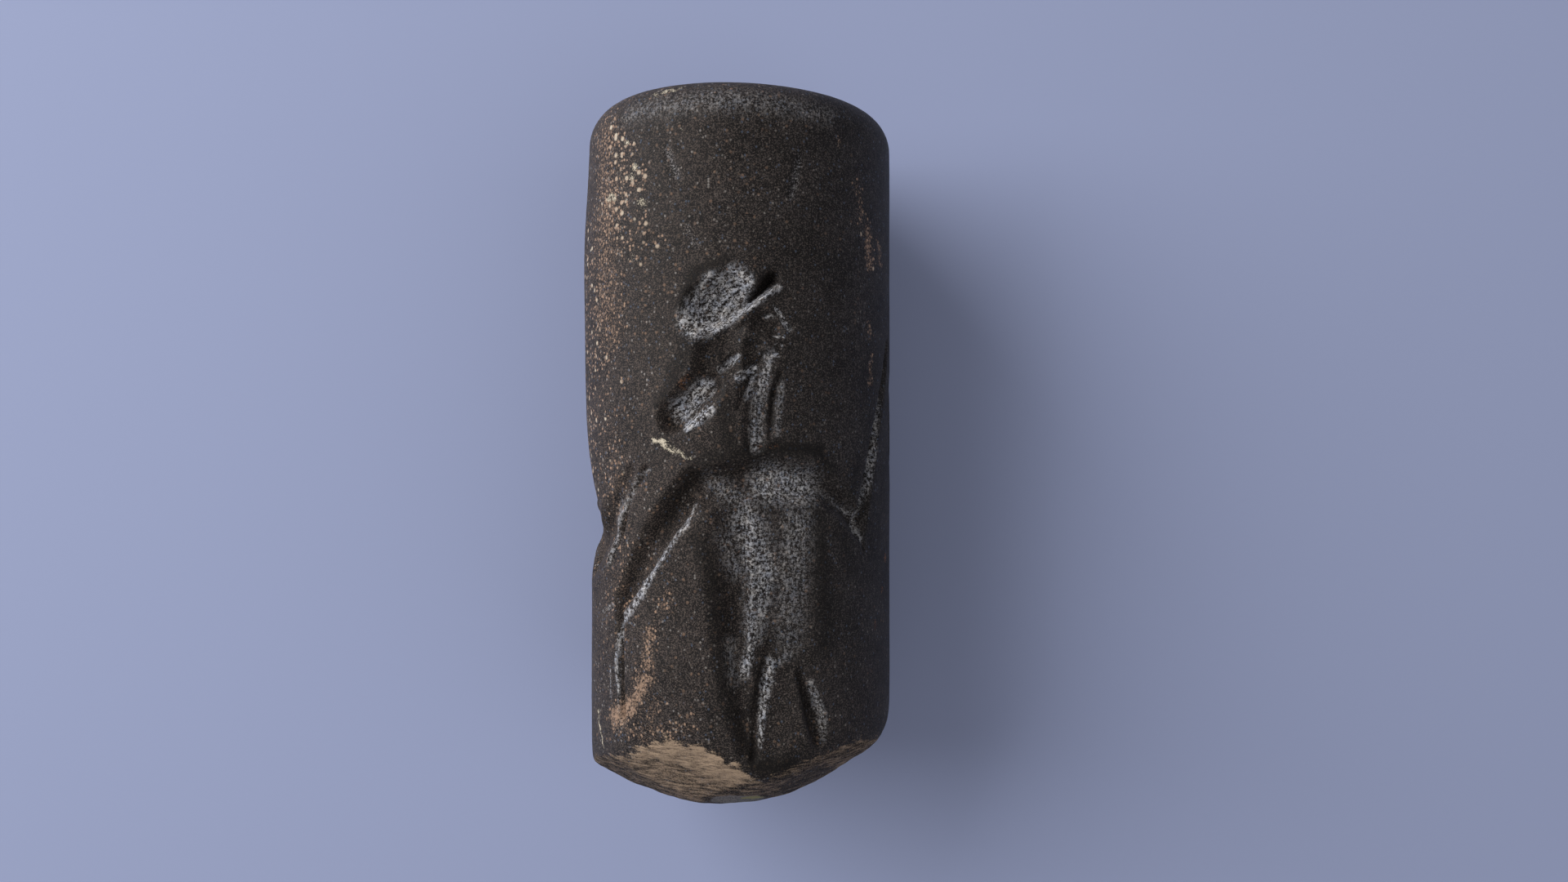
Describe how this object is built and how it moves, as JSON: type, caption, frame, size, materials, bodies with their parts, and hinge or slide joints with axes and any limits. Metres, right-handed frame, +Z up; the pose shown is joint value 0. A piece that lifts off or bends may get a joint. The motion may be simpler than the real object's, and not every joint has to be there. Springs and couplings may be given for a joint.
{
  "type": "cylinder seal",
  "caption": "Small bored stone drum, carved round its side with standing robed figures, rolled over clay to leave their raised print; worn, with a flaked foot end.",
  "frame": {"origin": "on the worn flat along the back, below the middle of the drum's length", "axes": "+Y along the drum towards its sound end, the top of the carved scene; +Z up out of the carved front, square to the flat; +X to the right of someone looking down on the front"},
  "size_m": [0.0126, 0.0272, 0.0121],
  "materials": {
    "dark_stone": "worn hand-ground soft stone, dark grey-brown with fine pale specks, pale dust in the cuts and tan wear along the broken foot edge"
  },
  "bodies": {
    "root": {"seal": "dark_stone"}
  },
  "joints": []
}
